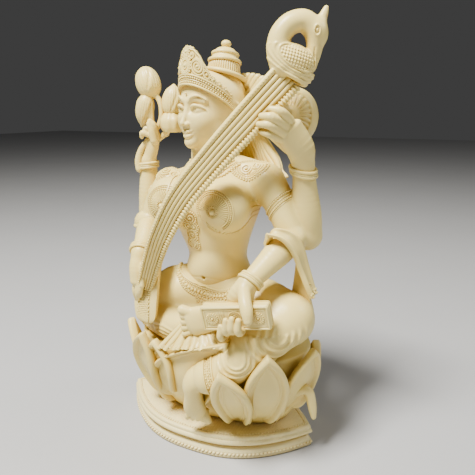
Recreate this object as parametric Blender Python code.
"""Seated four-armed goddess with a veena, on a lotus seat and a pointed-oval plinth.

A cast figurine made of glued castings. The figure faces -Y, her left hand side is +X,
and the origin is the centre of the plinth's underside. All lengths below are millimetres;
new_object() turns them into metres. Neighbouring castings keep a clearance of GAP, and
pegs on one casting sit in sockets cut into the next.
"""
import math

import bmesh
import bpy
from mathutils import Euler, Matrix, Vector

MM = 0.001
GAP = 0.35            # clearance round every glued joint
SEAM_ANGLE = 3.0      # faces flatter than this to each other are merged, degrees
PEG_RADIUS = 1.6

PLINTH_HALF_LENGTH = 58.0
PLINTH_HALF_DEPTH = 32.5
PLINTH_LOWER_TOP = 6.0
PLINTH_TOP = 13.0
PLINTH_CURVE = 2.5    # exponent of the two arcs that make the plan
SEAT_CENTRE = (5.0, 0.0)
SEAT_TOP = 57.0
PETAL_THICKNESS = 2.4
HEAD_CENTRE = (-1.5, -2.0, 178.0)
HEAD_TURN = -21.0     # degrees about Z, towards her right
NECK_RADIUS = 7.2
TIARA_HALF_WIDTH = 14.0
TIARA_HALF_DEPTH = 15.2
CROWN_LEAN = 12.0     # degrees, backwards
VEENA_TOP = Vector((46.0, -15.0, 193.0))
VEENA_ACROSS = Vector((0.87, 0.494, 0.0)).normalized()
VEENA_FRONT = Vector((0.494, -0.87, 0.0)).normalized()

IVORY = (0.90, 0.79, 0.55)
PALE_IVORY = (0.90, 0.83, 0.68)


# ---------------------------------------------------------------- shapes
# A shape is a function of its growth: it returns a bmesh whose surface lies that many
# millimetres further out, which makes the matching cutter for a neighbour.

def ball(centre, radii, turn=(0, 0, 0), segments=12, rings=8):
    """An ellipsoid with the given half axes, turned by Euler angles in degrees."""
    def build(grow):
        bm = bmesh.new()
        turned = Euler([math.radians(a) for a in turn]).to_matrix().to_4x4()
        sized = Matrix.Diagonal((*(r + grow for r in radii), 1))
        bmesh.ops.create_uvsphere(
            bm, u_segments=segments, v_segments=rings, radius=1,
            matrix=Matrix.Translation(centre) @ turned @ sized)
        return bm
    return build


def loft(rings):
    """A closed bmesh through rings of points, with flat caps on the first and last."""
    bm = bmesh.new()
    rows = [[bm.verts.new(p) for p in ring] for ring in rings]
    count = len(rings[0])
    for low, high in zip(rows, rows[1:]):
        for i in range(count):
            j = (i + 1) % count
            bm.faces.new((low[i], low[j], high[j], high[i]))
    for row in (rows[0], rows[-1]):
        middle = bm.verts.new(sum((v.co for v in row), Vector()) / count)
        for i in range(count):
            bm.faces.new((row[i], row[(i + 1) % count], middle))
    bmesh.ops.recalc_face_normals(bm, faces=bm.faces)
    return bm


def smooth_path(points, steps):
    """A Catmull-Rom curve through the points, with steps pieces to a span."""
    points = [Vector(p) for p in points]
    ends = [2 * points[0] - points[1], *points, 2 * points[-1] - points[-2]]
    path = []
    for a, b, c, d in zip(ends, ends[1:], ends[2:], ends[3:]):
        for k in range(steps):
            t = k / steps
            path.append(0.5 * (2 * b + (c - a) * t + (2 * a - 5 * b + 4 * c - d) * t * t
                               + (3 * b - a - 3 * c + d) * t ** 3))
    return [*path, points[-1]]


def limb(points, radii, up=(0, 0, 1), steps=2, sides=10, rounded=True):
    """A smooth tube; a radius is one number, or a pair (across, along up)."""
    pairs = [Vector(r if isinstance(r, tuple) else (r, r)).to_3d() for r in radii]

    def build(grow):
        path = smooth_path(points, steps)
        sizes = smooth_path(pairs, steps)
        ahead = [(q - p).normalized() for p, q in zip(path, path[1:])]
        ahead = [ahead[0], *((a + b).normalized() for a, b in zip(ahead, ahead[1:])), ahead[-1]]
        stations = list(zip(path, sizes, ahead))
        # Rounded ends taper over two short rings; cut ends only move out by the growth.
        rounds = ((0.95, 0.35), (0.6, 0.78)) if rounded else ()
        reach = min(sizes[0][:2]) if rounded else 0.0
        first = [(path[0] - ahead[0] * (reach * a + grow), sizes[0] * b, ahead[0])
                 for a, b in rounds]
        reach = min(sizes[-1][:2]) if rounded else 0.0
        last = [(path[-1] + ahead[-1] * (reach * a + grow), sizes[-1] * b, ahead[-1])
                for a, b in reversed(rounds)]
        if not rounded:
            stations[0] = (path[0] - ahead[0] * grow, sizes[0], ahead[0])
            stations[-1] = (path[-1] + ahead[-1] * grow, sizes[-1], ahead[-1])
        rings = []
        for place, size, along in first + stations + last:
            across = Vector(up).cross(along).normalized()
            over = along.cross(across)
            rings.append([
                place + across * ((size[0] + grow) * math.cos(2 * math.pi * i / sides))
                + over * ((size[1] + grow) * math.sin(2 * math.pi * i / sides))
                for i in range(sides)])
        return loft(rings)
    return build


def stack(levels, sides=24):
    """Elliptical rings one above another: (z, centre x, centre y, half width, half depth)."""
    def build(grow):
        rings = []
        for n, (z, x, y, width, depth) in enumerate(levels):
            lift = -grow if n == 0 else grow if n == len(levels) - 1 else 0.0
            rings.append([
                Vector((x + (width + grow) * math.cos(2 * math.pi * i / sides),
                        y + (depth + grow) * math.sin(2 * math.pi * i / sides), z + lift))
                for i in range(sides)])
        return loft(rings)
    return build


def block(centre, half, turn=(0, 0, 0)):
    """A box with the given half sizes, turned by Euler angles in degrees."""
    def build(grow):
        bm = bmesh.new()
        turned = Euler([math.radians(a) for a in turn]).to_matrix().to_4x4()
        sized = Matrix.Diagonal((*(2 * (h + grow) for h in half), 1))
        bmesh.ops.create_cube(bm, size=1,
                              matrix=Matrix.Translation(centre) @ turned @ sized)
        return bm
    return build


def sheet(surface, thickness, across=8, down=6):
    """A curved plate: surface(s, t) gives its middle for s in -1..1 and t in 0..1."""
    def build(grow):
        rows = [[Vector(surface(-1 + 2 * i / across, j / down)) for i in range(across + 1)]
                for j in range(down + 1)]
        normals = []
        for j, row in enumerate(rows):
            before, after = rows[max(j - 1, 0)], rows[min(j + 1, down)]
            normals.append([
                (row[min(i + 1, across)] - row[max(i - 1, 0)])
                .cross(after[i] - before[i]).normalized()
                for i in range(across + 1)])
        for row in rows:
            row[0] += (row[0] - row[1]).normalized() * grow
            row[-1] += (row[-1] - row[-2]).normalized() * grow
        for end, inner in ((rows[0], rows[1]), (rows[-1], rows[-2])):
            for p, q in zip(end, inner):
                p += (p - q).normalized() * grow
        half = thickness / 2 + grow
        bm = bmesh.new()
        sides = [[[bm.verts.new(p + n * half * way) for p, n in zip(row, line)]
                  for row, line in zip(rows, normals)] for way in (1, -1)]
        front, back = sides
        for j in range(down):
            for i in range(across):
                for face in (front, back):
                    bm.faces.new((face[j][i], face[j][i + 1],
                                  face[j + 1][i + 1], face[j + 1][i]))
        for j in (0, down):
            for i in range(across):
                bm.faces.new((front[j][i], front[j][i + 1], back[j][i + 1], back[j][i]))
        for i in (0, across):
            for j in range(down):
                bm.faces.new((front[j][i], front[j + 1][i], back[j + 1][i], back[j][i]))
        bmesh.ops.recalc_face_normals(bm, faces=bm.faces)
        return bm
    return build


def peg(start, end, radius=PEG_RADIUS):
    """A straight round pin between two points."""
    return limb([start, end], [radius, radius], up=(0.3, 0.5, 0.81), steps=1, sides=8,
                rounded=False)


# ---------------------------------------------------------------- objects

def material(name, colour):
    made = bpy.data.materials.new(name)
    made.use_nodes = True
    surface = made.node_tree.nodes["Principled BSDF"]
    surface.inputs["Base Color"].default_value = (*colour, 1)
    surface.inputs["Roughness"].default_value = 0.42
    surface.inputs["Metallic"].default_value = 0.0
    return made


def new_object(name, bm):
    """An object from a bmesh in millimetres."""
    bmesh.ops.scale(bm, vec=(MM, MM, MM), verts=bm.verts)
    bmesh.ops.triangulate(bm, faces=bm.faces)
    mesh = bpy.data.meshes.new(name)
    bm.to_mesh(mesh)
    bm.free()
    made = bpy.data.objects.new(name, mesh)
    bpy.context.scene.collection.objects.link(made)
    return made


def apply_boolean(target, tool, operation):
    """Joins tool to target, or cuts it away, and removes the tool."""
    modifier = target.modifiers.new("shape", "BOOLEAN")
    modifier.operation = operation
    modifier.object = tool
    graph = bpy.context.evaluated_depsgraph_get()
    result = bpy.data.meshes.new_from_object(target.evaluated_get(graph))
    target.modifiers.clear()
    used = target.data, tool.data
    target.data = result
    bpy.data.objects.remove(tool)
    for mesh in used:
        bpy.data.meshes.remove(mesh)


def keep_main_body(target):
    """Welds slivers and drops the crumbs that a cut may leave."""
    bm = bmesh.new()
    bm.from_mesh(target.data)
    bmesh.ops.remove_doubles(bm, verts=bm.verts, dist=0.02 * MM)
    bmesh.ops.dissolve_limit(bm, angle_limit=math.radians(SEAM_ANGLE), verts=bm.verts,
                             edges=bm.edges)
    bmesh.ops.dissolve_degenerate(bm, edges=bm.edges, dist=0.01 * MM)
    bmesh.ops.triangulate(bm, faces=bm.faces)
    unseen = set(bm.verts)
    bodies = []
    while unseen:
        body = {unseen.pop()}
        edge = list(body)
        while edge:
            vertex = edge.pop()
            for link in vertex.link_edges:
                other = link.other_vert(vertex)
                if other in unseen:
                    unseen.discard(other)
                    body.add(other)
                    edge.append(other)
        bodies.append(body)
    bodies.sort(key=len)
    bmesh.ops.delete(bm, geom=[v for body in bodies[:-1] for v in body], context="VERTS")
    bm.to_mesh(target.data)
    bm.free()


def make_piece(name, piece, pieces):
    """One casting: its shapes joined, cut clear of its neighbours, with its pegs added."""
    shapes = piece["shapes"]
    made = new_object(name, shapes[0](0))
    for shape in shapes[1:]:
        apply_boolean(made, new_object("addition", shape(0)), "UNION")
    cutters = [s for other in piece.get("clear_of", ()) for s in pieces[other]["shapes"]]
    cutters += piece.get("cuts", ())
    for other in pieces.values():
        if name == other.get("pegged_to"):
            cutters += other["pegs"]
    for cutter in cutters:
        apply_boolean(made, new_object("cutter", cutter(GAP)), "DIFFERENCE")
    keep_main_body(made)
    for pin in piece.get("pegs", ()):
        apply_boolean(made, new_object("pin", pin(0)), "UNION")
    keep_main_body(made)
    made.data.materials.clear()
    made.data.materials.append(material(name, piece.get("colour", IVORY)))
    made.data.shade_smooth()
    made.data.set_sharp_from_angle(angle=math.radians(40))


# ---------------------------------------------------------------- plinth and lotus

def plinth_shape(levels, points=14):
    """The pointed oval at each (z, inset), lofted upwards."""
    def outline(z, inset, grow):
        length = PLINTH_HALF_LENGTH - 1.22 * (inset - grow)
        depth = PLINTH_HALF_DEPTH - (inset - grow)
        ring = []
        for side in (-1, 1):
            for i in range(points):
                x = side * -math.cos(math.pi * i / points) * length
                y = depth * (1 - abs(x / length) ** PLINTH_CURVE)
                ring.append(Vector((x, side * y, z)))
        return ring

    def build(grow):
        last = len(levels) - 1
        lifts = [-grow if n == 0 else grow if n == last else 0 for n in range(last + 1)]
        return loft([outline(z + lift, inset, grow)
                     for (z, inset), lift in zip(levels, lifts)])
    return build


def seat_radii(z):
    """The bowl's half width and half depth at a height, flaring up from its foot."""
    rise = (z - PLINTH_TOP) / (SEAT_TOP - PLINTH_TOP)
    swell = math.sin(min(rise * 1.25, 1.0) * math.pi / 2) ** 0.8
    return 36 + 13 * swell, 16 + 17 * swell


def petal(angle, low, high, half_angle, lean=3.0, stand=1.0, twist=0.0):
    """A pointed petal on the bowl: centred at angle (degrees, 0 = -Y, + = her left)."""
    def surface(s, t):
        z = low + (high - low) * t
        width, depth = seat_radii(min(z, SEAT_TOP))
        spread = math.sin(math.pi * min(t * 0.62 + 0.18, 1.0)) ** 0.9
        spread *= (1 - t ** 5) * 0.98 + 0.02
        a = math.radians(angle + half_angle * s * spread + twist * t * t)
        out = stand + lean * t * t + 1.5 * (1 - s * s) * math.sin(math.pi * t)
        return (SEAT_CENTRE[0] + (width + out) * math.sin(a),
                SEAT_CENTRE[1] - (depth + out) * math.cos(a), z)
    return sheet(surface, PETAL_THICKNESS, across=4, down=4)


def lotus_seat():
    levels = [PLINTH_TOP + GAP, 21, 30, 42, SEAT_TOP]
    bowl = stack([(z, *SEAT_CENTRE, *seat_radii(z)) for z in levels], sides=20)
    petals = [
        petal(-67, 22, 63, 15, lean=5, twist=3),
        petal(-44, 15, 67, 14, lean=8, twist=16),
        petal(-24, 30, 60, 11, lean=5.6, twist=2),
        petal(-14.2, 22.5, 66, 24, lean=5.2, twist=34),
        petal(26, 13.8, 60.4, 10.8, lean=16, twist=-7.4),
        petal(44, 14.4, 68.5, 13.6, lean=13, twist=-4.3, stand=1.3),
        petal(72.4, 20.6, 64, 17.5, lean=6.1, twist=2.7),
        petal(112, 18, 56, 18, lean=2),
        petal(148, 18, 62, 17, lean=4),
        petal(180, 18, 62, 16, lean=4),
        petal(212, 18, 62, 17, lean=4),
        petal(248, 18, 62, 18, lean=4),
    ]
    hook = limb([(44, -10, 30), (50, -10, 36), (55.5, -9, 39.5), (58.5, -8, 36), (59.5, -7, 23.5)],
                [(7, 2.4), (6, 2.4), (3.6, 2.4), (2.6, 2.0), (1.4, 1.4)], up=(0, 1, 0.2))
    return [bowl, *petals, hook]


# ---------------------------------------------------------------- figure

def legs():
    """The draped lap: hips, folded right leg and the left leg that hangs forward."""
    return [
        stack([(58, 4, -2, 30, 22), (66, 4, -2, 33, 24), (76, 3, 1, 29, 21),
               (86, 3, 1, 24, 17), (92, 3, 0, 20, 14)], sides=20),
        limb([(12, -4, 79), (32, -11, 80), (47, -13, 77.5)], [16, 15.2, 13]),
        limb([(47, -14.5, 78), (37.5, -25.5, 70), (28, -32, 59.2), (20.1, -35.4, 52.6),
              (14.8, -37, 50.4)], [13, 12.2, 10.2, 9.2, 8.7]),
        limb([(-4, -3, 79), (-20, -7, 80), (-33, -9, 71)], [15, 14, 11]),
        limb([(-32, -11, 68), (-14, -20, 67), (6, -25, 70)], [10, 10, 9]),
    ]


def torso():
    return [
        stack([(86, 3, -1, 17, 13), (94, 3, -2, 18.5, 14), (103, 3, -3, 16.4, 12.4),
               (112, 2.5, -4, 19, 14), (124, 2, -5, 24, 16.0), (134, 2, -4, 26.6, 16.4),
               (143, 3, -3, 24.4, 13.6), (149, 2.5, -2.5, 17, 11), (154, 1, -2, 9, 8.5)],
              sides=24),
        ball((14.5, -18, 131.5), (13, 10.8, 12.5)),
        ball((-15, -18, 132), (13, 10.8, 12.5)),
        limb([(-12, 2, 146), (1, 2, 149), (15, 0.5, 147.3), (27, -1, 144.8)],
             [6.2, 8, 7.4, 7.4]),
    ]


def head():
    x, y, z = HEAD_CENTRE
    return [
        ball((x + 0.5, y + 2, z + 3), (14.5, 16.5, 15.5), turn=(0, 0, HEAD_TURN)),
        ball((x - 1.5, y - 5, z - 6), (11.5, 11, 14), turn=(0, 0, HEAD_TURN)),
        limb([(x + 1.5, y + 3, z - 10), (1, -1.5, 154), (1, -2, 147)],
             [NECK_RADIUS, NECK_RADIUS, NECK_RADIUS + 0.6], up=(0, 1, 0), rounded=False),
    ]


def headdress_place(side, forward, up):
    """A point given in the head's own frame: to her left, forwards and up."""
    turn = Matrix.Rotation(math.radians(HEAD_TURN), 3, "Z")
    return turn @ Vector((side, -forward, up)) + Vector(HEAD_CENTRE)


def tiara():
    """A band over the forehead that drops to the ears, with a tall front plate."""
    def surface(s, t):
        a = math.radians(110 * s)
        low = 10.5 - 7.5 * (1 - math.cos(a))
        tall = 6.0 + 10.5 * math.exp(-(s * 3.4) ** 2)
        radius = 1.0 + 0.05 * math.sin(math.pi * t) - 0.12 * t
        return headdress_place(TIARA_HALF_WIDTH * radius * math.sin(a),
                               TIARA_HALF_DEPTH * radius * math.cos(a) - 1.0, low + tall * t)
    return [sheet(surface, 3.0, across=14, down=2)]


def crown():
    lean = Matrix.Rotation(math.radians(-CROWN_LEAN), 3, "X")
    base = crown_tip(0)
    levels = [(0, 9.0), (9.4, 7.6), (10.6, 8.4), (11.6, 7.8), (12.8, 6.8), (14.2, 7.0),
              (15.2, 6.0), (17, 4.0)]

    def build(grow):
        rings = []
        for n, (height, radius) in enumerate(levels):
            lift = -grow if n == 0 else grow if n == len(levels) - 1 else 0
            rings.append([
                base + lean @ Vector(((radius + grow) * math.cos(2 * math.pi * i / 20),
                                      (radius + grow) * math.sin(2 * math.pi * i / 20),
                                      height + lift)) for i in range(20)])
        return loft(rings)
    return [build]


def crown_tip(height):
    """A point on the crown's leaning axis."""
    lean = Matrix.Rotation(math.radians(-CROWN_LEAN), 3, "X")
    return headdress_place(3.5, -6, 12) + lean @ Vector((0, 0, height))


def halo():
    def surface(s, t):
        a = math.radians(100 * s)
        square = (abs(math.sin(a)) ** 3 + abs(math.cos(a)) ** 3) ** (-1 / 3)
        reach = (0.42 + 0.58 * t) * square
        return headdress_place(24 * reach * math.sin(a), -14.3 - 3 * t,
                               -5 + 21.5 * reach * math.cos(a))
    return [sheet(surface, 2.6, across=16, down=1)]


def hair():
    def surface(s, t):
        width = 13 + 27 * t ** 0.8
        return (1 + width * s, 15 - 7 * s * s * t + 3 * math.sin(math.pi * t) - 4 * t,
                172 - 42 * t + 12 * s * s * t * t)
    return [sheet(surface, 6.5, across=8, down=4)]


# ---------------------------------------------------------------- arms

FRONT_LEFT = {"shoulder": (31, -3, 143), "elbow": (46, -7, 117), "wrist": (34, -33, 100)}
FRONT_RIGHT = {"shoulder": (-25, -3, 138.5), "elbow": (-36, -7, 118), "wrist": (-29.5, -27.5, 106)}
REAR_LEFT = {"shoulder": (25, 7, 141), "elbow": (51, 1, 117), "wrist": (50, -6, 152)}
REAR_RIGHT = {"shoulder": (-20, 8, 138), "elbow": (-45, 6, 121), "wrist": (-45, 5, 149)}


def upper_arm(arm, radii):
    return [limb([arm["shoulder"], arm["elbow"]], radii, steps=4)]


def forearm(arm, radii):
    start = Vector(arm["elbow"])
    end = Vector(arm["wrist"])
    return limb([start, start.lerp(end, 0.35), end], radii, up=(0.3, 0.4, 0.1))


def fingers(bases, tips, radius, bend):
    """One bent finger from each base to the tip beside it, bowed out by bend."""
    return [finger((base, (Vector(base) + Vector(tip)) / 2 + Vector(bend), tip), radius)
            for base, tip in zip(bases, tips)]


def finger(points, radius):
    """One finger through its joints, slimmer towards the tip."""
    sizes = [radius] + [radius * 0.95] * (len(points) - 2) + [radius * 0.8]
    return limb(points, sizes, up=(0.2, 0.3, 0.9), steps=1, sides=6)


def spread(start, end, count):
    """Points evenly spaced from start to end."""
    a, b = Vector(start), Vector(end)
    return [a.lerp(b, i / (count - 1)) for i in range(count)]


def front_left_forearm():
    palm = limb([FRONT_LEFT["wrist"], (31.5, -34.5, 94.5), (28.6, -32, 86.5)],
                [(4.5, 3.9), (6.0, 3.8), (6.0, 3.0)], up=(0.5, -1, 0.3))
    hold = [finger([(x - 1, -33, top - 5), (x - 0.6, -41, top - 8.4),
                    (x - 0.3, -45.4, top - 5.4), (x + 0.2, -46, top)], 1.8)
            for x, top in ((26.2, 82.6), (28.9, 86), (31.9, 87.2), (35.2, 87))]
    thumb = limb([(33.6, -36.5, 98.5), (36.6, -41.5, 94.5), (38.6, -44.5, 91), (39.6, -45.8, 87.4)],
                 [3.0, 3.0, 2.6, 1.9], up=(1, 0, 0.2), steps=2, sides=8)
    return [forearm(FRONT_LEFT, [7.0, 6.8, 4.6]), palm, *hold, thumb]


def front_right_forearm():
    palm = limb([FRONT_RIGHT["wrist"], (-28.8, -30.5, 99), (-28.4, -31.6, 92)],
                [(4.2, 3.8), (4.8, 3.8), (4.4, 3.2)], up=(0.5, -1, 0))
    pluck = [finger(joints, 1.9) for joints in (
        ((-30.8, -31, 92), (-31.6, -31.2, 86.5), (-32.0, -30.4, 82.4)),
        ((-28.4, -32, 92.5), (-29.2, -32.4, 86), (-29.8, -31.2, 81.8)))]
    return [forearm(FRONT_RIGHT, [6.4, 6.2, 4.3]), palm, *pluck]


def rear_left_forearm():
    palm = limb([REAR_LEFT["wrist"], (50, -10.5, 160), (46.6, -17, 168.6)],
                [(5.1, 4.4), (6.6, 4.3), (6.6, 3.2)], up=(0.5, -0.85, 0.15))
    press = [finger(joints, 2.0) for joints in (
        ((47.1, -18.4, 173.0), (45, -23.6, 176.6), (40.6, -24.6, 177.7)),
        ((45.6, -20.0, 170.5), (42.2, -26.0, 174.2), (37.2, -26.4, 174.7)),
        ((44.9, -20.2, 167.6), (41.0, -26.1, 170.9), (36.0, -26.5, 171.3)),
        ((43.7, -19.6, 164.9), (40.4, -24.8, 167.0), (36.9, -25.0, 167.9)))]
    thumb = finger([(43, -8, 160), (38, -12, 165), (35, -15.5, 168)], 2.2)
    return [forearm(REAR_LEFT, [7.2, 7.4, 5.0]), palm, *press, thumb]


def rear_right_forearm():
    palm = limb([REAR_RIGHT["wrist"], (-41.6, 4.5, 157.5), (-39.4, 4, 164)],
                [(4.3, 3.6), (4.4, 3.4), (3.4, 2.8)], up=(0.5, 1, 0))
    curl = [finger(joints, 1.6) for joints in (
        ((-39.5, 2, 166), (-42.6, 1, 167.2), (-43.6, 0.6, 165.6)),
        ((-40.5, 1, 163.6), (-43.8, -0.8, 165), (-44.6, -0.6, 162.8)))]
    pointer = limb([(-38.6, 3, 165), (-38.2, 1.5, 169), (-39.6, 0.6, 171.2)], [2.4, 1.9, 1.5],
                   up=(0, 1, 0), steps=2, sides=8)
    return [forearm(REAR_RIGHT, [6.8, 6.4, 4.6]), palm, *curl, pointer]


def bangle(arm, share, radius, half_width=1.6):
    """A ring round the forearm, share of the way from elbow to wrist."""
    a, b = Vector(arm["elbow"]), Vector(arm["wrist"])
    middle = a.lerp(b, share)
    along = (b - a).normalized()
    across = along.cross(Vector((0.3, 0.4, 0.1))).normalized()
    over = along.cross(across)

    def build(grow):
        bm = bmesh.new()
        rows = []
        for i in range(16):
            turn = 2 * math.pi * i / 16
            out = across * math.cos(turn) + over * math.sin(turn)
            rows.append([
                bm.verts.new(middle + out * (radius + (1.1 + grow) * math.cos(tube))
                             + along * (half_width + grow) * math.sin(tube))
                for tube in (2 * math.pi * k / 5 for k in range(5))])
        for one, two in zip(rows, rows[1:] + rows[:1]):
            for k in range(5):
                m = (k + 1) % 5
                bm.faces.new((one[k], one[m], two[m], two[k]))
        bmesh.ops.recalc_face_normals(bm, faces=bm.faces)
        return bm
    return [build]


# ---------------------------------------------------------------- feet, pleats, book

def left_foot():
    return [
        limb([(17.0, -36, 50.1), (11.6, -38, 49.4), (8.0, -39.4, 46), (7.2, -38.6, 39),
              (5.8, -35.4, 30), (6.2, -32.8, 25)],
             [(6.8, 6.8), (6.6, 6.4), (5.4, 5.6), (4.6, 4.6), (5.7, 4.3), (4.4, 3.2)],
             up=(0.3, -1, 0.2)),
        *fingers(spread((1.8, -35, 27), (9.6, -31, 26), 5),
                 spread((3.4, -34.4, 22.6), (9.8, -30.6, 20.4), 5), 1.7, (0, -1, 0)),
    ]


def right_foot():
    return [
        limb([(26, -31, 81), (15, -34.5, 80), (6, -36, 77.2)],
             [(6, 4), (6.8, 3.6), (7.6, 3.4)], up=(0, 1, 0.1)),
        *fingers(spread((4.2, -36.8, 83.2), (4.6, -36.2, 71.6), 5),
                 spread((0.2, -38, 83.8), (0.6, -37.4, 69.6), 5), 1.7, (-0.4, -0.5, 0)),
    ]


def skirt_pleats():
    def surface(s, t):
        fold = 0.9 * math.cos(s * math.pi * 5) * t
        return (6 + (7 + 12.5 * t) * s, -32 - 5.5 * t - 2.2 * (1 - s * s) * t + fold,
                75 - 10.5 * t + 4.2 * s * t)
    return [sheet(surface, 2.6, across=12, down=2)]


BOOK_CENTRE = (31, -38.5, 86)
BOOK_TURN = (8, -8, 8)


def book():
    return [block(BOOK_CENTRE, (16.5, 2.8, 6.3), turn=BOOK_TURN)]


# ---------------------------------------------------------------- veena

def veena_place(right, up, out=0.0):
    """A point on the veena's own plane, from the collar below the swan."""
    return VEENA_TOP + VEENA_ACROSS * right + Vector((0, 0, up)) + VEENA_FRONT * out


VEENA_PATH = [(46, -15, 193), (30.4, -23.8, 174), (16.0, -32.0, 156), (2.6, -38.6, 138),
              (-8.6, -38.6, 120), (-17.6, -34.6, 104), (-25.6, -30.0, 88.5)]


def veena_neck():
    sizes = [(7.4, 3.4), (7.2, 3.4), (6.6, 3.2), (6.0, 3.0), (5.2, 3.0), (4.6, 2.8), (4.0, 2.6)]
    return [limb(VEENA_PATH, sizes, up=VEENA_FRONT, steps=2, rounded=False)]


def swan_head():
    body = [(-4.5, 3.5), (-7, 9.5), (-6.2, 15.5), (-1.8, 20), (4.2, 21), (9, 17.5)]
    beak = [(10.6, 13), (10.2, 7), (9.2, 2.5)]
    crest = [(12.0, 19), (13.2, 23), (14, 25.6)]
    return [
        limb([veena_place(*p) for p in body], [6, 5.0, 4.6, 4.8, 5.0, 5.2], up=VEENA_FRONT),
        ball(veena_place(1.0, 5.0), (8.5, 6.5, 6.0), turn=(0, -12, 29.6)),
        ball(veena_place(10.5, 14.5), (4.6, 4.8, 7.0), turn=(0, 0, 29.6)),
        limb([veena_place(*p) for p in beak], [4.2, 2.8, 1.2], up=VEENA_FRONT, steps=2),
        limb([veena_place(*p) for p in crest], [2.4, 1.9, 1.1], up=VEENA_FRONT, steps=2),
        limb([veena_place(-1.2, -1.2), veena_place(2.4, 2.4)], [(9.0, 5.2), (8.6, 5.6)],
             up=VEENA_FRONT, steps=1, sides=16, rounded=False),
    ]


def upper_gourd():
    return [
        ball((40.5, 6, 174), (11.8, 11, 13.8), turn=(0, 0, 20)),
        limb([(40, -4, 178), (37, -17.5, 182)], [3.2, 3.2], steps=1, rounded=False),
    ]


# ---------------------------------------------------------------- lotus stems and shawl

def lotus_bud(stem, base, tip, radius):
    start, end = Vector(base), Vector(tip)
    body = [start, start.lerp(end, 0.28), start.lerp(end, 0.62), end]
    return [
        limb(body, [radius * 0.35, radius, radius * 0.8, 0.6], up=(0.3, 1, 0.1)),
        limb([*stem, start.lerp(end, 0.2)], [1.5] * (len(stem) + 1), up=(0.3, 1, 0.1),
             steps=2, sides=8),
    ]


def lotus_leaf():
    return [
        stack([(166, -28.5, 6, 3, 3), (168, -28.5, 6, 8, 7), (172, -28.5, 6, 8.4, 7.4),
               (175.5, -28.5, 6, 5, 4.5)], sides=14),
        limb([(-39, 6.5, 161), (-34, 6.5, 164.5), (-29, 6, 170)], [1.5, 1.5, 1.5],
             up=(0, 1, 0), steps=2, sides=8),
    ]


def shawl_left():
    """The wrap over the left forearm and the end that hangs outside the knee."""
    def surface(s, t):
        return (49 + 7.4 * t ** 0.7 + 1.0 * s, -9.5 + 5.5 * s * (1 - 0.2 * t) + 1.5 * t,
                119 - 35 * t)
    wrap = limb([(36, -14, 117), (40, -17, 120.5), (46, -14.5, 120), (50, -10.5, 115)],
                [(3.2, 1.8), (3.4, 1.8), (3.4, 1.8), (3, 1.8)], up=(0.3, -0.4, 1))
    return [sheet(surface, 2.4, across=4, down=6), wrap]


def shawl_right():
    """The roll round the right elbow and the end that hangs beside the hip."""
    def surface(s, t):
        return (-33 + 6 * s + 8 * t, -16 - 12 * t + 3 * s, 114 - 43 * t)
    return [sheet(surface, 3.0, across=4, down=6)]


# ---------------------------------------------------------------- assembly

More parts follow.
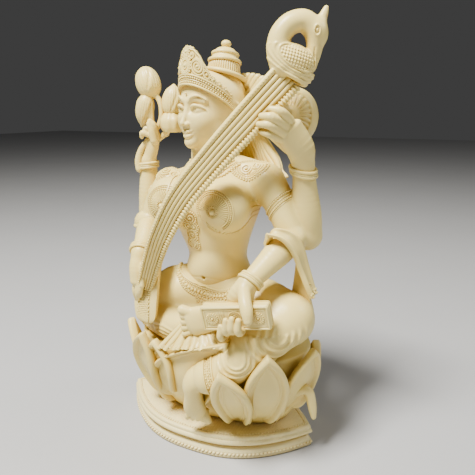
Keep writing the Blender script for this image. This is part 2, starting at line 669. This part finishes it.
def all_pieces():
    upper = {"front_left": FRONT_LEFT, "front_right": FRONT_RIGHT,
             "rear_left": REAR_LEFT, "rear_right": REAR_RIGHT}
    pieces = {
        "plinth_lower_tier": {
            "shapes": [plinth_shape([(0, 1.6), (1.2, 0.6), (3.4, 0.2), (5.0, 1.6),
                                     (PLINTH_LOWER_TOP, 2.6)])],
            "colour": PALE_IVORY},
        "plinth_upper_tier": {
            "shapes": [plinth_shape([(PLINTH_LOWER_TOP + GAP, 2.6), (7.6, 1.4), (8.6, 0.2),
                                     (10.2, 0.1), (11.4, 1.0), (12.2, 1.4),
                                     (PLINTH_TOP, 2.2)])],
            "pegs": [peg((-22, 0, 9), (-22, 0, 3), 4), peg((26, 0, 9), (26, 0, 3), 4)],
            "pegged_to": "plinth_lower_tier"},
        "lotus_seat": {
            "shapes": lotus_seat(),
            "pegs": [peg((-14, 3, 20), (-14, 3, 10), 4), peg((22, 3, 20), (22, 3, 10), 4)],
            "pegged_to": "plinth_upper_tier",
            "clear_of": ["draped_legs", "left_foot", "right_foot", "skirt_pleats",
                         "shawl_right_end", "shawl_left_end"]},
        "draped_legs": {
            "shapes": legs(),
            "pegs": [peg((4, 2, 64), (4, 2, 50), 5)],
            "pegged_to": "lotus_seat",
            "clear_of": ["torso", "left_foot", "right_foot", "skirt_pleats", "book",
                         "front_left_forearm", "front_right_forearm", "veena_neck"]},
        "torso": {"shapes": torso(), "clear_of": ["veena_neck", "head"]},
        "head": {"shapes": head()},
        "tiara": {"shapes": tiara(), "clear_of": ["head"]},
        "crown": {"shapes": crown(), "clear_of": ["head", "tiara"]},
        "crown_finial": {
            "shapes": [ball(crown_tip(18.5), (2.4, 2.4, 2.8), segments=12, rings=8)],
            "pegs": [peg(crown_tip(18), crown_tip(11), 1.3)],
            "pegged_to": "crown", "clear_of": ["crown"]},
        "halo_fan": {"shapes": halo(), "clear_of": ["head", "tiara", "crown", "veena_neck",
                                                    "rear_left_forearm", "upper_gourd"]},
        "hair_fall": {"shapes": hair(),
                      "clear_of": ["head", "torso", "halo_fan", "tiara", "crown",
                                   "front_left_upper_arm", "front_right_upper_arm",
                                   "rear_left_upper_arm", "rear_right_upper_arm",
                                   "rear_left_forearm", "rear_right_forearm"]},
        "right_foot": {"shapes": right_foot(), "clear_of": ["book", "front_left_forearm"]},
        "left_foot": {"shapes": left_foot(), "clear_of": ["plinth_upper_tier"]},
        "skirt_pleats": {"shapes": skirt_pleats(), "clear_of": ["right_foot", "left_foot",
                                                                "book",
                                                                "front_left_forearm"]},
        "book": {"shapes": book()},
        "veena_neck": {"shapes": veena_neck()},
        "veena_swan_head": {
            "shapes": swan_head(), "clear_of": ["veena_neck"],
            "pegs": [peg(veena_place(3, 3.2), veena_place(-4, -4.3), 2)],
            "pegged_to": "veena_neck"},
        "upper_gourd": {"shapes": upper_gourd(), "clear_of": ["veena_neck",
                                                              "rear_left_forearm"]},
        "lotus_bud_upright": {"shapes": lotus_bud(
            [(-39, 4, 166), (-36.2, 5, 170.2), (-34.8, 5, 175.5), (-36, 5, 181)],
            (-40.8, 5, 184.6), (-45.4, 5, 199), 6.4)},
        "lotus_bud_hanging": {"clear_of": ["lotus_bud_upright"], "shapes": lotus_bud(
            [(-40.4, 3, 169), (-40.4, 3, 174.5), (-41, 3, 180)], (-42.6, 3, 184),
            (-47, 3.4, 168.4), 5.0)},
        "lotus_bud_side": {"clear_of": ["lotus_bud_upright"], "shapes": lotus_bud(
            [(-35, 9, 164), (-32, 9, 170)], (-29.6, 7, 175.4), (-27.8, 7, 190), 5.6)},
        "lotus_leaf": {"shapes": lotus_leaf(),
                       "clear_of": ["lotus_bud_side", "lotus_bud_upright"]},
        "shawl_left_end": {"shapes": shawl_left(),
                           "clear_of": ["draped_legs", "front_left_forearm",
                                        "front_left_upper_arm", "rear_left_forearm"]},
        "shawl_right_end": {"shapes": shawl_right(),
                            "clear_of": ["draped_legs", "front_right_forearm",
                                         "front_right_upper_arm", "veena_neck"]},
    }
    for name, arm in upper.items():
        shoulder, elbow = Vector(arm["shoulder"]), Vector(arm["elbow"])
        inward = (Vector((1, -3, shoulder.z - 3)) - shoulder).normalized()
        thick = 8.6 if name.startswith("front") else 8.0
        pieces[name + "_upper_arm"] = {
            "shapes": upper_arm(arm, [thick, 6.6]),
            "clear_of": ["torso", name + "_forearm", "veena_neck"],
            "pegs": [peg(shoulder, shoulder + inward * 14, 2.4)], "pegged_to": "torso"}
    pieces["front_left_forearm"] = {"shapes": front_left_forearm(), "clear_of": ["book"]}
    pieces["front_right_forearm"] = {"shapes": front_right_forearm(),
                                     "clear_of": ["veena_neck"]}
    pieces["rear_left_forearm"] = {"shapes": rear_left_forearm(),
                                   "clear_of": ["veena_neck", "front_left_forearm",
                                                "front_left_upper_arm"]}
    pieces["rear_right_forearm"] = {"shapes": rear_right_forearm(),
                                    "clear_of": ["lotus_bud_upright", "lotus_bud_hanging",
                                                 "lotus_bud_side", "lotus_leaf",
                                                 "front_right_forearm"]}
    pieces["rear_left_upper_arm"]["clear_of"].append("front_left_upper_arm")
    pieces["rear_right_upper_arm"]["clear_of"].append("front_right_upper_arm")
    for name, arm, radius in (("front_left", FRONT_LEFT, 5.8), ("front_right", FRONT_RIGHT, 5.5),
                              ("rear_left", REAR_LEFT, 6.1), ("rear_right", REAR_RIGHT, 5.7)):
        pieces[name + "_bangle"] = {"shapes": bangle(arm, 0.93, radius),
                                    "clear_of": [name + "_forearm"]}
    return pieces


def main():
    for old in list(bpy.data.objects):
        bpy.data.objects.remove(old)
    pieces = all_pieces()
    for name, piece in pieces.items():
        make_piece(name, piece, pieces)


main()
